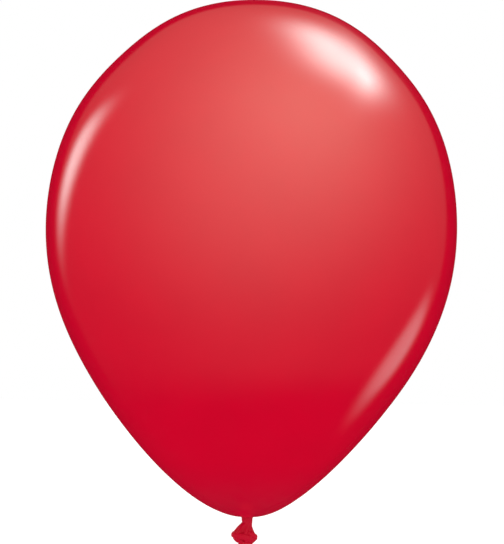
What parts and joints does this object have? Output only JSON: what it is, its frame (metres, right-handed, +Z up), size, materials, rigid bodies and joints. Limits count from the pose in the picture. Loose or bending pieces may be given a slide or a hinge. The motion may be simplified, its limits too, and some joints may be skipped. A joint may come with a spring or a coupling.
{
  "type": "latex balloon",
  "caption": "Inflated round latex balloon, pear-shaped, tied off with a knot in its own neck, with a short loose tail that ends in a rolled rim.",
  "frame": {"origin": "on the balloon's axis, halfway down the bare neck between the envelope and the knot, where a ribbon is tied", "axes": "+Z up along the balloon's axis, from the knot to the crown; +X to the side where the knot's loop is low; -Y to the viewer of the picture"},
  "size_m": [0.28, 0.28, 0.3924],
  "materials": {
    "stretched_latex": "glossy stretched red film, slightly translucent",
    "gathered_latex": "gathered and twisted red film, deep colour, satin gloss with fine pleats",
    "relaxed_latex": "unstretched red film, satin, with a rolled bead"
  },
  "bodies": {
    "envelope": {"envelope": "stretched_latex"},
    "neck": {"neck": "gathered_latex"},
    "knot": {"knot_core": "gathered_latex", "knot_loop": "gathered_latex"},
    "tail": {"tail": "relaxed_latex", "rolled_rim": "relaxed_latex"}
  },
  "joints": [
    {"name": "neck_side_bend", "type": "hinge", "parent": "envelope", "child": "neck", "pos_m": [0, 0, 0.001], "axis": [0, 1, 0], "range_deg": [-35, 35], "stiffness_Nm_per_rad": 0.002, "deforming": ["neck"]},
    {"name": "neck_front_bend", "type": "hinge", "parent": "neck", "child": "knot", "pos_m": [0, 0, -0.001], "axis": [1, 0, 0], "range_deg": [-35, 35], "stiffness_Nm_per_rad": 0.002, "deforming": ["neck"]},
    {"name": "tail_bend", "type": "hinge", "parent": "knot", "child": "tail", "pos_m": [-0.0008, 0, -0.0206], "axis": [1, 0, 0], "range_deg": [-60, 60], "stiffness_Nm_per_rad": 0.001}
  ]
}
